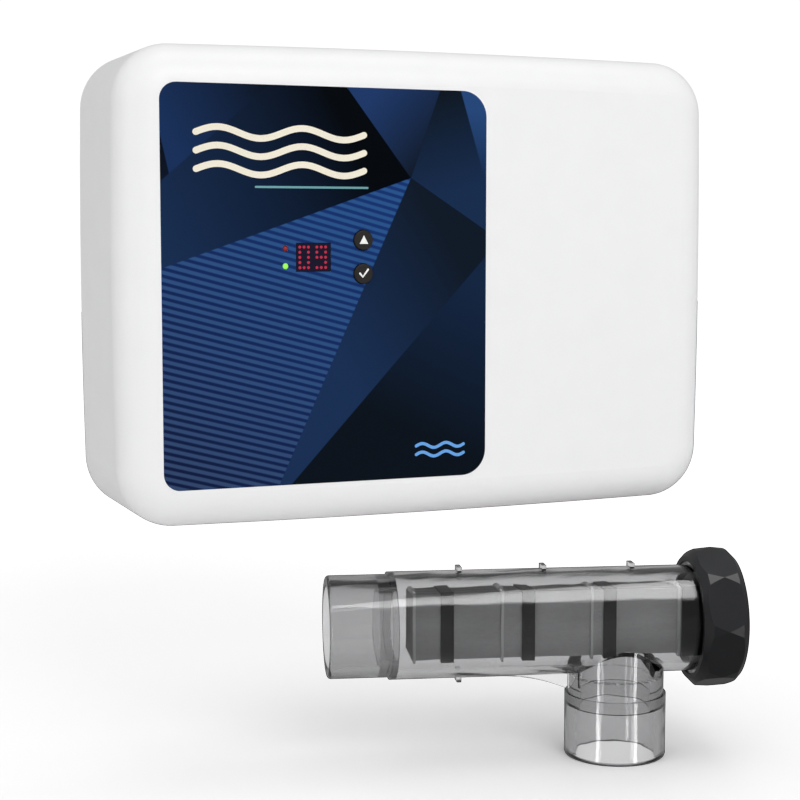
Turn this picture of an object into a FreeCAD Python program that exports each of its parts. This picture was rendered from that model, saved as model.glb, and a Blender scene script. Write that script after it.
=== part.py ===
"""Salt chlorine generator: a wall-mounted controller and its electrolysis cell.

The wall is the plane Y = 0 and the controller faces -Y.  The origin is the centre of the four wall
holes.  The cell lies below the controller with its electrode head on the right and its branch
pointing down, and its axis is turned away from the wall towards the right.  Each piece of the cell is
modelled round the cell's own axis, +X from the left mouth, and then placed.  Lengths are millimetres.
"""

import FreeCAD, Part
import math
import os
import re
import Sketcher
from FreeCAD import Placement, Rotation, Vector

OUTPUT_FOLDER = "parts"
SHEET_NAME = "dims"

# ---------------------------------------------------------------- driving dimensions

CELLS = {
    # controller case
    "box_width": 370,
    "box_height": 270,
    "box_depth": 100,
    "corner_radius": 32,
    "side_bow": 1.2,
    "front_rounding": 21,
    "cover_wall": 3,
    "rear_wall": 4,
    "rim_wall": 5,
    "seam_depth": 10,
    "tongue_gap": 0.3,
    "tongue_wall": 1.6,
    "tongue_reach": 4,
    "gasket_inset": 1,
    "gasket_width": 1.6,
    "gasket_depth": 1.5,
    # wall holes
    "wall_hole_span": 300,
    "wall_hole_rise": 190,
    "wall_hole_radius": 2.75,
    "wall_boss_radius": 8,
    "wall_boss_depth": 8,
    # cable bay in the underside
    "bay_half_width": 110,
    "bay_back": 17,
    "bay_front": 46,
    "bay_height": 36,
    "bay_wall": 3,
    "bay_gap": 0.3,
    # cover screws, driven up through the underside
    "cover_screw_x": 150,
    "cover_screw_y": 30,
    "cover_screw_radius": 2,
    "cover_screw_head": 4,
    "cover_screw_length": 16,
    "screw_block": 14,
    # catches along the top edge
    "catch_x": 100,
    "catch_width": 16,
    "catch_front": 24,
    "catch_thickness": 3,
    "catch_drop": 4,
    # printed label
    "label_left": -162,
    "label_width": 194,
    "label_height": 223,
    "label_radius_left": 9.5,
    "label_radius_right": 15,
    "label_thickness": 0.5,
    "label_recess": 0.4,
    # display, lamps and buttons
    "display_x": -74.5,
    "display_z": 16.6,
    "display_width": 20.8,
    "display_height": 16.2,
    "window_gap": 0.2,
    "window_lip": 2,
    "window_lip_depth": 1,
    "module_width": 22,
    "module_height": 17,
    "lamp_x": -91,
    "lamp_red_z": 21.5,
    "lamp_green_z": 11.7,
    "lamp_radius": 1.5,
    "lamp_proud": 0.6,
    "lamp_length": 7,
    "lamp_collar": 1.9,
    "lamp_leg": 0.3,
    "lamp_leg_pitch": 1.27,
    "button_x": -44.8,
    "button_up_z": 26.1,
    "button_ok_z": 7.1,
    "button_radius": 5.6,
    "button_gap": 0.35,
    "button_proud": 1.6,
    "button_edge": 0.6,
    "button_flange": 7,
    "button_flange_depth": 1,
    "button_stem": 2,
    "button_stem_length": 3.1,
    "button_travel": 0.7,
    # display board
    "panel_gap": 9,
    "board_thickness": 1.6,
    "panel_left": -104,
    "panel_right": -30,
    "panel_low": -9,
    "panel_high": 42,
    "panel_screw_inset": 4,
    "boss_radius": 3,
    "small_screw_radius": 1.25,
    "small_screw_head": 2.6,
    "small_screw_head_depth": 1.8,
    "small_screw_length": 6,
    "switch_size": 6,
    "switch_height": 3.4,
    "switch_plunger": 1.7,
    "switch_plunger_rise": 0.6,
    # main board
    "main_left": -50,
    "main_right": 140,
    "main_low": -78,
    "main_high": 82,
    "standoff": 8,
    "main_screw_inset": 6,
    "standoff_radius": 4,
    # transformer
    "toroid_x": -112,
    "toroid_z": 0,
    "toroid_radius": 46,
    "toroid_bore": 16,
    "toroid_height": 38,
    "toroid_rounding": 8,
    "toroid_seat": 4,
    "clamp_radius": 30,
    "clamp_thickness": 1.5,
    "clamp_bolt_radius": 3,
    "clamp_bolt_head": 5.5,
    "clamp_bolt_head_depth": 4,
    # heatsink, capacitors, relays and fuse on the main board
    "sink_x": 130,
    "sink_z": 40,
    "sink_height": 62,
    "sink_depth": 36,
    "sink_back": 3,
    "sink_reach": 20,
    "sink_fin": 1.5,
    "sink_pitch": 7,
    "rectifier_low": 6,
    "rectifier_high": 32,
    "rectifier_half_height": 12,
    "rectifier_thickness": 6,
    "capacitor_x": 88,
    "capacitor_z": 24,
    "capacitor_pitch": 30,
    "capacitor_radius": 12.5,
    "capacitor_height": 35,
    "relay_x": 18,
    "relay_z": -40,
    "relay_pitch": 17,
    "relay_width": 29,
    "relay_height": 12.6,
    "relay_tall": 15.7,
    "fuse_x": 80,
    "fuse_z": -30,
    "fuse_radius": 2.6,
    "fuse_length": 28,
    "fuse_rise": 8,
    "fuse_base_width": 32,
    "fuse_base_height": 9,
    "fuse_base_tall": 3,
    "fuse_post_offset": 12.5,
    "fuse_post_width": 3,
    "fuse_post_height": 8,
    "fuse_post_tall": 11,
    # signal parts
    "chip_x": 30,
    "chip_z": 40,
    "chip_size": 14,
    "chip_tall": 1.6,
    "terminal_x": 45,
    "terminal_z": -66,
    "terminal_pitch": 8,
    "terminal_deep": 13,
    "terminal_tall": 18,
    "terminal_entry": 1.9,
    "terminal_entry_rise": 5,
    "terminal_entry_depth": 6,
    "terminal_driver_depth": 3,
    "ribbon_x": -40,
    "ribbon_low": 14,
    "ribbon_high": 60,
    "ribbon_bend": 8,
    "ribbon_width": 13,
    "ribbon_thickness": 0.9,
    "header_width": 16,
    "header_deep": 5,
    "header_tall": 8,
    # cable glands
    "gland_x": 62,
    "gland_y": 31.5,
    "gland_thread": 8,
    "gland_bore": 5,
    "gland_flange": 11,
    "gland_flange_depth": 5,
    "gland_nut_depth": 5,
    "gland_nut_flats": 22,
    "gland_cap_depth": 14,
    "gland_cap_radius": 10.5,
    "gland_seal_radius": 6.4,
    "gland_neck_depth": 11,
    "gland_seal_depth": 8,
    "gland_thread_spare": 2,
    # cell placement: the centre of its left mouth, and how far its axis turns away from the wall
    "cell_x": -44.6,
    "cell_y": -34.9,
    "cell_z": -211,
    "cell_turn": 15,
    # cell housing, lengths from the left mouth
    "stub_length": 38,
    "stub_radius": 31.5,
    "socket_radius": 25,
    "socket_depth": 31,
    "throat_radius": 22,
    "rim_rounding": 2,
    "tube_radius": 33,
    "tube_bore": 28.5,
    "chamber_start": 42,
    "tube_end": 248,
    "thread_start": 229,
    "thread_radius": 35,
    "thread_pitch": 4,
    "thread_ridge": 1.8,
    "branch_x": 182,
    "neck_radius": 30,
    "neck_end": 45.7,
    "branch_end": 85.5,
    "saddle_depth": 34.5,
    "web_start": 108,
    "web_thickness": 2.5,
    "web_tip": 0.8,
    "web_arc": 105,
    "lug_x_1": 82,
    "lug_x_2": 135,
    "lug_x_3": 191,
    "lug_width": 2.6,
    "lug_span": 9,
    "lug_height": 3,
    # electrode stack
    "plate_start": 51,
    "plate_end": 221,
    "plate_low": -18.5,
    "plate_high": 21,
    "plate_thickness": 1,
    "plate_pitch": 4.5,
    "tab_length": 6,
    "anode_tab_low": 4,
    "anode_tab_high": 20,
    "cathode_tab_low": -18,
    "cathode_tab_high": -1,
    "bar_thickness": 2,
    "bar_half_span": 14,
    "anode_bar_low": 8,
    "anode_bar_high": 16,
    "cathode_bar_low": -11,
    "cathode_bar_high": -2,
    "clip_x_1": 72.8,
    "clip_x_2": 123.2,
    "clip_x_3": 174.3,
    "clip_width": 8,
    "clip_half_span": 15.2,
    "clip_low": -20,
    "clip_high": 22,
    "clip_hook": 5,
    "clip_bump": 1.6,
    "clip_bump_width": 4,
    "clip_bump_span": 8,
    "spacer_x_1": 52.5,
    "spacer_x_2": 107,
    "spacer_x_3": 163,
    "spacer_x_4": 218,
    "spacer_width": 1.5,
    "spacer_knob": 1.7,
    # electrode head: a root the size of a clip, then a round plug
    "root_start": 220,
    "head_start": 230,
    "head_radius": 28.1,
    "head_flange": 34,
    "head_flange_gap": 0.1,
    "head_flange_depth": 3.4,
    "head_end": 256,
    "cup_radius": 24,
    "cup_floor": 238,
    "collar_radius": 29,
    "ring_groove": 235.5,
    "ring_section": 1.65,
    "ring_centre": 26.55,
    "ring_land": 2,
    "stud_circle": 12,
    "stud_radius": 3,
    "stud_end": 250,
    "stud_nut_flats": 10,
    "stud_nut_depth": 5,
    # slip ring and union nut
    "slip_bore": 29.4,
    "slip_thickness": 1.2,
    "slip_gap": 0.1,
    "nut_start": 228,
    "nut_flats": 82,
    "nut_bore": 35.4,
    "nut_thread": 36.4,
    "nut_web_bore": 29.5,
    "nut_chamfer": 4.5,
    "nut_crown": 1.5,
}

# worked out from the cells above
FORMULAS = {
    "corner_x": "=box_width / 2 - corner_radius - side_bow",
    "corner_z": "=box_height / 2 - corner_radius - side_bow",
    "bow_rise": "=(corner_radius + side_bow) ^ 2 - corner_radius ^ 2",
    "long_side_radius": "=(corner_x ^ 2 + bow_rise) / (2 * side_bow)",
    "short_side_radius": "=(corner_z ^ 2 + bow_rise) / (2 * side_bow)",
    "tongue_outer": "=cover_wall + tongue_gap",
    "tongue_inner": "=tongue_outer + tongue_wall",
    "gasket_inner": "=gasket_inset + gasket_width",
    "gasket_floor": "=seam_depth - gasket_depth",
    "label_back": "=box_depth - label_recess",
    "label_right": "=label_left + label_width",
    "label_top": "=label_height / 2",
    "label_bottom": "=-label_height / 2",
    "front_inside": "=box_depth - cover_wall",
    "panel_face": "=front_inside - panel_gap",
    "main_back": "=rear_wall + standoff",
    "main_face": "=main_back + board_thickness",
    "underside": "=-box_height / 2",
    "bay_roof": "=underside + bay_height",
    "nut_end": "=head_end",
}

doc = FreeCAD.newDocument("salt_chlorine_generator")
sheet = doc.addObject("Spreadsheet::Sheet", SHEET_NAME)
for row, (alias, content) in enumerate({**CELLS, **FORMULAS}.items(), start=1):
    sheet.set(f"A{row}", alias)
    sheet.set(f"B{row}", str(content))
    sheet.setAlias(f"B{row}", alias)
doc.recompute()

nodes = []


# ---------------------------------------------------------------- building blocks


def bound(text):
    """Turn a formula in alias words into an expression on the sheet."""
    return re.sub(r"[a-z_]+", lambda word: f"{SHEET_NAME}.{word.group()}", str(text))


def bind(thing, **formulas):
    """Tie properties of an object to the sheet."""
    for name, formula in formulas.items():
        thing.setExpression(name, bound(formula))
    return thing


def place(thing, x, y, z):
    """Tie an object's position to the sheet."""
    for axis, formula in zip("xyz", (x, y, z)):
        thing.setExpression(f"Placement.Base.{axis}", bound(formula))
    return thing


def node(label, thing):
    """Name an object and mark it as a sub-part to be written out."""
    thing.Label = label
    nodes.append(thing)
    return thing


def block(low, high):
    """A box between two opposite corners."""
    solid = doc.addObject("Part::Box", "block")
    place(solid, *low)
    for name, start, end in zip(("Length", "Width", "Height"), low, high):
        solid.setExpression(name, bound(f"({end}) - ({start})"))
    return solid


def along(axis):
    """The rotation that turns +Z to a signed axis such as +x or -y."""
    sign = -1 if axis[0] == "-" else 1
    direction = Vector(*(sign if letter == axis[1] else 0 for letter in "xyz"))
    return Rotation(Vector(0, 0, 1), direction)


def rod(radius, start, length, axis="+x"):
    """A cylinder from a point along an axis."""
    solid = doc.addObject("Part::Cylinder", "rod")
    bind(solid, Radius=radius, Height=length)
    solid.Placement = Placement(Vector(), along(axis))
    return place(solid, *start)


def cone(radius, end_radius, start, length, axis="+x"):
    """A cone or frustum from a point along an axis."""
    solid = doc.addObject("Part::Cone", "cone")
    bind(solid, Radius1=radius, Radius2=end_radius, Height=length)
    solid.Placement = Placement(Vector(), along(axis))
    return place(solid, *start)


def prism(sides, flats, start, length, axis="+x"):
    """A regular prism, sized across its flats."""
    solid = doc.addObject("Part::Prism", "prism")
    solid.Polygon = sides
    bind(solid, Height=length, Circumradius=f"({flats}) / {2 * math.cos(math.pi / sides):.5f}")
    solid.Placement = Placement(Vector(), along(axis))
    return place(solid, *start)


def ring(centre_radius, section_radius, centre, axis="+x"):
    """A torus round an axis."""
    solid = doc.addObject("Part::Torus", "ring")
    bind(solid, Radius1=centre_radius, Radius2=section_radius)
    solid.Placement = Placement(Vector(), along(axis))
    return place(solid, *centre)


def fuse(*solids):
    """One solid from several."""
    union = doc.addObject("Part::MultiFuse", "union")
    union.Shapes = list(solids)
    union.Refine = True
    return union


def cut(base, *tools):
    """A solid with others taken away."""
    difference = doc.addObject("Part::Cut", "difference")
    difference.Base = base
    difference.Tool = fuse(*tools) if len(tools) > 1 else tools[0]
    return difference


def common(base, tool):
    """Where two solids overlap."""
    overlap = doc.addObject("Part::Common", "overlap")
    overlap.Base = base
    overlap.Tool = tool
    return overlap


def group(*solids):
    """Several separate solids in one node."""
    compound = doc.addObject("Part::Compound", "group")
    compound.Links = list(solids)
    return compound


def ball(radius, centre):
    """A sphere."""
    solid = doc.addObject("Part::Sphere", "ball")
    bind(solid, Radius=radius)
    return place(solid, *centre)


def rounded(base, radius, chosen):
    """Round the edges of a solid that pass a test."""
    doc.recompute()
    fillet = doc.addObject("Part::Fillet", "fillet")
    fillet.Base = base
    size = sheet.get(radius)
    fillet.Edges = [(i, size, size) for i, edge in enumerate(base.Shape.Edges, start=1) if chosen(edge)]
    return fillet


def origin_plane(body, role):
    """One of a body's own origin planes."""
    return next(plane for plane in body.Origin.OriginFeatures if plane.Role == role)


def facing_sketch(body, name, depth):
    """A sketch parallel to the wall, a given depth in front of it, with X right and Z up."""
    sketch = body.newObject("Sketcher::SketchObject", name)
    sketch.AttachmentSupport = [(origin_plane(body, "XZ_Plane"), "")]
    sketch.MapMode = "FlatFace"
    sketch.setExpression("AttachmentOffset.Base.z", bound(depth))
    return sketch


def name_last(sketch, name, formula):
    """Name a sketch's newest constraint and tie it to the sheet."""
    sketch.renameConstraint(sketch.ConstraintCount - 1, name)
    sketch.setExpression(f"Constraints.{name}", bound(formula))


def case_outline(sketch, inset):
    """Draw the case outline: bowed sides and round corners, all moved inwards by an inset.

    Each side is an arc that meets its two corner arcs in a tangent, and every arc of an inset
    outline keeps its centre, so the gap between two outlines is the same all the way round.
    """
    gap = sheet.get(inset) if inset else 0
    less = f" - {inset}" if inset else ""
    middle_x, middle_z = sheet.get("corner_x"), sheet.get("corner_z")
    corner = sheet.get("corner_radius") - gap
    long_arc = sheet.get("long_side_radius") - gap
    short_arc = sheet.get("short_side_radius") - gap
    long_offset = sheet.get("box_height") / 2 - gap - long_arc
    short_offset = sheet.get("box_width") / 2 - gap - short_arc
    long_half_angle = math.atan2(middle_x, middle_z - long_offset)
    short_half_angle = math.atan2(middle_z, middle_x - short_offset)
    facing = Vector(0, 0, 1)
    first = sketch.GeometryCount
    for quarter in range(4):
        turn = quarter * math.pi / 2
        level = quarter % 2
        half_angle = long_half_angle if level else short_half_angle
        next_half = short_half_angle if level else long_half_angle
        offset = long_offset if level else short_offset
        side_centre = Vector(offset * math.cos(turn), offset * math.sin(turn), 0)
        side = Part.Circle(side_centre, facing, long_arc if level else short_arc)
        sketch.addGeometry(Part.ArcOfCircle(side, turn - half_angle, turn + half_angle), False)
        quadrant_x = 1 if quarter in (0, 3) else -1
        quadrant_z = 1 if quarter in (0, 1) else -1
        corner_centre = Vector(quadrant_x * middle_x, quadrant_z * middle_z, 0)
        bend = Part.Circle(corner_centre, facing, corner)
        corner_start = turn + half_angle
        corner_end = turn + math.pi / 2 - next_half
        sketch.addGeometry(Part.ArcOfCircle(bend, corner_start, corner_end), False)
    for quarter in range(4):
        side, bend = first + 2 * quarter, first + 2 * quarter + 1
        following = first + (2 * quarter + 2) % 8
        level = quarter % 2
        sketch.addConstraint(Sketcher.Constraint("Tangent", side, 2, bend, 1))
        sketch.addConstraint(Sketcher.Constraint("Tangent", bend, 2, following, 1))
        sketch.addConstraint(Sketcher.Constraint("Radius", bend, corner))
        name_last(sketch, f"corner{bend}", "corner_radius" + less)
        sketch.addConstraint(Sketcher.Constraint("Radius", side, long_arc if level else short_arc))
        name_last(sketch, f"side{side}", ("long_side_radius" if level else "short_side_radius") + less)
        quadrant_x = 1 if quarter in (0, 3) else -1
        quadrant_z = 1 if quarter in (0, 1) else -1
        sketch.addConstraint(Sketcher.Constraint("DistanceX", -1, 1, bend, 3, quadrant_x * middle_x))
        name_last(sketch, f"across{bend}", f"{quadrant_x} * corner_x")
        sketch.addConstraint(Sketcher.Constraint("DistanceY", -1, 1, bend, 3, quadrant_z * middle_z))
        name_last(sketch, f"up{bend}", f"{quadrant_z} * corner_z")


def pad(body, sketch, length):
    """Extrude a sketch away from the wall."""
    feature = body.newObject("PartDesign::Pad", sketch.Name + "_pad")
    feature.Profile = sketch
    return bind(feature, Length=length)


def case_ring(label, depth, length, outer_inset, inner_inset):
    """A ring or plate that follows the case outline."""
    body = doc.addObject("PartDesign::Body", label)
    sketch = facing_sketch(body, label + "_outline", depth)
    case_outline(sketch, outer_inset)
    if inner_inset:
        case_outline(sketch, inner_inset)
    pad(body, sketch, length)
    return body


def label_outline(sketch):
    """Draw the printed label: straight sides, with wider corners on its right."""
    left, right = sheet.get("label_left"), sheet.get("label_right")
    bottom, top = sheet.get("label_bottom"), sheet.get("label_top")
    radius_left, radius_right = sheet.get("label_radius_left"), sheet.get("label_radius_right")
    facing = Vector(0, 0, 1)
    corners = (
        (right, top, radius_right, 0),
        (left, top, radius_left, 90),
        (left, bottom, radius_left, 180),
        (right, bottom, radius_right, 270),
    )
    bends = []
    for x, z, radius, start in corners:
        inward_x = -radius if x == right else radius
        inward_z = -radius if z == top else radius
        circle = Part.Circle(Vector(x + inward_x, z + inward_z, 0), facing, radius)
        bends.append(Part.ArcOfCircle(circle, math.radians(start), math.radians(start + 90)))
    for quarter, bend in enumerate(bends):
        sketch.addGeometry(bend, False)
        sketch.addGeometry(Part.LineSegment(bend.EndPoint, bends[(quarter + 1) % 4].StartPoint), False)
    for quarter, side in enumerate(("right", "left", "left", "right")):
        bend, line, following = 2 * quarter, 2 * quarter + 1, (2 * quarter + 2) % 8
        sketch.addConstraint(Sketcher.Constraint("Tangent", bend, 2, line, 1))
        sketch.addConstraint(Sketcher.Constraint("Tangent", line, 2, following, 1))
        sketch.addConstraint(Sketcher.Constraint("Radius", bend, bends[quarter].Radius))
        name_last(sketch, f"radius{quarter}", f"label_radius_{side}")
    for line, name, kind, value in (
        (1, "top", "DistanceY", top),
        (3, "left", "DistanceX", left),
        (5, "bottom", "DistanceY", bottom),
        (7, "right", "DistanceX", right),
    ):
        level = kind == "DistanceY"
        sketch.addConstraint(Sketcher.Constraint("Horizontal" if level else "Vertical", line))
        sketch.addConstraint(Sketcher.Constraint(kind, -1, 1, line, 1, value))
        name_last(sketch, name, f"label_{name}")


def label_plate(label, depth, thickness):
    """A plate with the label's outline."""
    body = doc.addObject("PartDesign::Body", label)
    sketch = facing_sketch(body, label + "_outline", depth)
    label_outline(sketch)
    pad(body, sketch, thickness)
    return body


def corner_points(left, right, low, high, inset):
    """The four screw positions of a board, as formulas."""
    return [
        (x, z)
        for x in (f"{left} + {inset}", f"{right} - {inset}")
        for z in (f"{low} + {inset}", f"{high} - {inset}")
    ]


def mirrored(formula):
    """The same distance to the left and to the right."""
    return [f"-({formula})", formula]


# ---------------------------------------------------------------- controller case

WALL_HOLES = [(x, z) for x in mirrored("wall_hole_span / 2") for z in mirrored("wall_hole_rise / 2")]
PANEL_HOLES = corner_points("panel_left", "panel_right", "panel_low", "panel_high", "panel_screw_inset")
MAIN_HOLES = corner_points("main_left", "main_right", "main_low", "main_high", "main_screw_inset")
COVER_SCREWS = mirrored("cover_screw_x")
GLANDS = mirrored("gland_x")
BUTTONS = {"button_up": "button_up_z", "button_ok": "button_ok_z"}
LAMPS = {"led_red": "lamp_red_z", "led_green": "lamp_green_z"}


def front_openings():
    """The holes for the display, the lamps and the buttons, right through the front wall."""
    front, back = "-(box_depth + 2)", "-(front_inside - 1)"
    half_width, half_height = "display_width / 2", "display_height / 2"
    window = block(
        (f"display_x - {half_width}", front, f"display_z - {half_height}"),
        (f"display_x + {half_width}", back, f"display_z + {half_height}"),
    )
    length = f"({back}) - ({front})"
    lamps = [rod("lamp_radius + window_gap", ("lamp_x", front, z), length, "+y") for z in LAMPS.values()]
    buttons = [
        rod("button_radius + button_gap", ("button_x", front, z), length, "+y")
        for z in BUTTONS.values()
    ]
    return [window, *lamps, *buttons]


def cover_screw(x):
    """A countersunk screw, flush with the underside where the side's bow has run out."""
    start = (x, "-cover_screw_y", "underside + side_bow")
    shank = rod("cover_screw_radius", start, "cover_screw_length", "+z")
    head = cone("cover_screw_head", "cover_screw_radius", start, "cover_screw_head / 2", "+z")
    return fuse(shank, head)


def build_front_cover():
    """A deep rounded shell, open towards the wall."""
    body = doc.addObject("PartDesign::Body", "front_shell")
    sketch = facing_sketch(body, "front_shell_outline", "seam_depth")
    case_outline(sketch, None)
    block_pad = pad(body, sketch, "box_depth - seam_depth")
    doc.recompute()
    front, back = -sheet.get("box_depth"), -sheet.get("seam_depth")
    fillet = body.newObject("PartDesign::Fillet", "front_edge")
    fillet.Base = (block_pad, [
        f"Edge{i}" for i, edge in enumerate(block_pad.Shape.Edges, start=1)
        if edge.BoundBox.YMax < front + 0.01
    ])
    bind(fillet, Radius="front_rounding")
    doc.recompute()
    hollow = body.newObject("PartDesign::Thickness", "hollow")
    hollow.Base = (fillet, [
        f"Face{i}" for i, face in enumerate(fillet.Shape.Faces, start=1)
        if face.BoundBox.YMin > back - 0.01
    ])
    bind(hollow, Value="cover_wall")
    hollow.Reversed = True

    bosses = [
        rod("boss_radius", (x, "-(front_inside + 1)", z), "panel_gap + 1", "+y") for x, z in PANEL_HOLES
    ]
    pilots = [
        rod("small_screw_radius", (x, "-(panel_face + small_screw_length)", z), "small_screw_length", "+y")
        for x, z in PANEL_HOLES
    ]
    catches = [
        block(
            (f"{x} - catch_width / 2", "-catch_front", "box_height / 2 - cover_wall - catch_drop"),
            (f"{x} + catch_width / 2", "catch_thickness - catch_front", "box_height / 2 - cover_wall / 2"),
        )
        for x in mirrored("catch_x")
    ]
    bay_mouth = block(
        ("-bay_half_width", "-bay_front", "underside - 1"),
        ("bay_half_width", "-bay_back", "underside + cover_wall + 1"),
    )
    screw_holes = [cover_screw(x) for x in COVER_SCREWS]
    recess = label_plate("label_recess_tool", "label_back", "2 * label_thickness")
    shell = fuse(body, *bosses, *catches)
    node("front_cover", cut(shell, recess, bay_mouth, *pilots, *screw_holes, *front_openings()))


def build_rear_cover():
    """The tray that is screwed to the wall and carries the transformer and the main board."""
    plate = case_ring("rear_plate", "0", "rear_wall", None, None)
    rim = case_ring("rear_rim", "rear_wall / 2", "seam_depth - rear_wall / 2", None, "rim_wall")
    tongue = case_ring("tongue", "seam_depth - 1", "tongue_reach + 1", "tongue_outer", "tongue_inner")
    groove = case_ring("gasket_groove", "gasket_floor", "gasket_depth + 1", "gasket_inset", "gasket_inner")

    inner_low = "underside + cover_wall + side_bow + bay_gap"
    bay_outside = block(
        ("-(bay_half_width + bay_wall)", "-(bay_front + bay_wall)", inner_low),
        ("bay_half_width + bay_wall", "-rear_wall / 2", "bay_roof + bay_wall"),
    )
    bay_inside = block(
        ("-bay_half_width", "-bay_front", "underside"),
        ("bay_half_width", "-rear_wall", "bay_roof"),
    )
    bay_walls = cut(bay_outside, bay_inside)
    wall_bosses = [
        rod("wall_boss_radius", (x, "-wall_boss_depth", z), "wall_boss_depth", "+y") for x, z in WALL_HOLES
    ]
    standoffs = [
        rod("standoff_radius", (x, "-main_back", z), "standoff + 1", "+y") for x, z in MAIN_HOLES
    ]
    seat_front = ("toroid_x", "-(rear_wall + toroid_seat)", "toroid_z")
    seat = rod("clamp_radius", seat_front, "toroid_seat + 1", "+y")
    screw_blocks = [
        block(
            (f"{x} - screw_block / 2", "-(cover_screw_y + screw_block / 2)", inner_low),
            (f"{x} + screw_block / 2", "-rear_wall / 2", f"{inner_low} + screw_block"),
        )
        for x in COVER_SCREWS
    ]
    hook_top = "box_height / 2 - cover_wall - catch_drop - bay_gap"
    hook_front = "-(catch_front + catch_thickness)"
    hooks = [
        block(
            (f"{x} - catch_width / 2", hook_front, f"{hook_top} - catch_thickness"),
            (f"{x} + catch_width / 2", "-rear_wall / 2", hook_top),
        )
        for x in mirrored("catch_x")
    ]
    lips = [
        block(
            (f"{x} - catch_width / 2", hook_front, hook_top),
            (f"{x} + catch_width / 2", "-(catch_front + bay_gap)", f"{hook_top} + catch_drop / 2"),
        )
        for x in mirrored("catch_x")
    ]
    tray = fuse(
        plate, rim, tongue, bay_walls, seat, *wall_bosses, *standoffs, *screw_blocks, *hooks, *lips
    )

    wall_holes = [
        rod("wall_hole_radius", (x, "-(wall_boss_depth + 1)", z), "wall_boss_depth + 2", "+y")
        for x, z in WALL_HOLES
    ]
    board_pilots = [
        rod("small_screw_radius", (x, "-main_back", z), "small_screw_length", "+y") for x, z in MAIN_HOLES
    ]
    gland_holes = [
        rod("gland_thread", (x, "-gland_y", "bay_roof - 1"), "bay_wall + 2", "+z") for x in GLANDS
    ]
    screw_pilots = [cover_screw(x) for x in COVER_SCREWS]
    bolt_pilot = rod("clamp_bolt_radius", seat_front, "toroid_seat + rear_wall / 2", "+y")
    node("rear_cover", cut(
        tray, groove, bolt_pilot, *wall_holes, *board_pilots, *gland_holes, *screw_pilots
    ))


def build_case_small_parts():
    """The gasket between the covers and the screws that join them."""
    node("cover_gasket", case_ring(
        "cover_gasket", "gasket_floor", "gasket_depth", "gasket_inset", "gasket_inner"
    ))
    node("cover_screws", group(*[cover_screw(x) for x in COVER_SCREWS]))


def build_glands():
    """Two cable glands in the roof of the cable bay, open and pointing down."""
    flange_low = "bay_roof - gland_flange_depth"
    neck_low = f"{flange_low} - gland_neck_depth"
    cap_low = f"{flange_low} - gland_cap_depth"
    lock_low = "bay_roof + bay_wall"
    stem_length = f"{lock_low} + gland_nut_depth + gland_thread_spare - ({neck_low})"
    bodies, lock_nuts, cap_nuts, seals = [], [], [], []
    for x in GLANDS:
        stem = rod("gland_thread", (x, "-gland_y", neck_low), stem_length, "+z")
        flange = rod("gland_flange", (x, "-gland_y", flange_low), "gland_flange_depth", "+z")
        bore = rod("gland_bore", (x, "-gland_y", f"{neck_low} - 1"), f"{stem_length} + 2", "+z")
        seal_seat = rod("gland_seal_radius", (x, "-gland_y", neck_low), "gland_seal_depth", "+z")
        bodies.append(cut(fuse(stem, flange), bore, seal_seat))
        lock_nuts.append(cut(
            prism(6, "gland_nut_flats", (x, "-gland_y", lock_low), "gland_nut_depth", "+z"),
            rod("gland_thread", (x, "-gland_y", lock_low), "gland_nut_depth", "+z"),
        ))
        cap_nuts.append(cut(
            prism(8, "2 * gland_cap_radius", (x, "-gland_y", cap_low), "gland_cap_depth", "+z"),
            rod("gland_thread", (x, "-gland_y", neck_low), "gland_neck_depth", "+z"),
            rod("gland_seal_radius", (x, "-gland_y", cap_low), "gland_cap_depth", "+z"),
        ))
        seals.append(cut(
            rod("gland_seal_radius", (x, "-gland_y", neck_low), "gland_seal_depth", "+z"),
            rod("gland_bore - 1", (x, "-gland_y", neck_low), "gland_seal_depth", "+z"),
        ))
    for label, solids in (
        ("gland_bodies", bodies),
        ("gland_lock_nuts", lock_nuts),
        ("gland_cap_nuts", cap_nuts),
        ("gland_seals", seals),
    ):
        node(label, group(*solids))


# ---------------------------------------------------------------- front panel


def build_label():
    """The printed overlay, with holes for the display, the lamps and the buttons."""
    plate = label_plate("label_plate", "label_back", "label_thickness")
    node("label_overlay", cut(plate, *front_openings()))


def build_display():
    """The window and the LED module behind it."""
    half_width, half_height = "(display_width / 2 - window_gap)", "(display_height / 2 - window_gap)"
    pane = block(
        (f"display_x - {half_width}", "-box_depth", f"display_z - {half_height}"),
        (f"display_x + {half_width}", "-front_inside", f"display_z + {half_height}"),
    )
    lip_width, lip_height = f"({half_width} + window_lip)", f"({half_height} + window_lip)"
    lip_back = "-(front_inside - window_lip_depth)"
    lip = block(
        (f"display_x - {lip_width}", "-front_inside", f"display_z - {lip_height}"),
        (f"display_x + {lip_width}", lip_back, f"display_z + {lip_height}"),
    )
    node("display_window", fuse(pane, lip))
    node("display_module", block(
        ("display_x - module_width / 2", lip_back, "display_z - module_height / 2"),
        ("display_x + module_width / 2", "-panel_face", "display_z + module_height / 2"),
    ))


def build_lamps():
    """Two round LEDs that stand just proud of the label."""
    tip = "box_depth + lamp_proud - lamp_radius"
    tail = f"({tip} - lamp_length)"
    for label, z in LAMPS.items():
        dome = ball("lamp_radius", ("lamp_x", f"-({tip})", z))
        barrel = rod("lamp_radius", ("lamp_x", f"-({tip})", z), "lamp_length", "+y")
        collar = rod("lamp_collar", ("lamp_x", f"-({tail} + 1)", z), "1", "+y")
        legs = [
            rod("lamp_leg", (f"lamp_x {side} lamp_leg_pitch / 2", f"-{tail} - 1 / 2", z),
                f"{tail} - panel_face + 1 / 2", "+y")
            for side in "+-"
        ]
        node(label, fuse(dome, barrel, collar, *legs))


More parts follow.
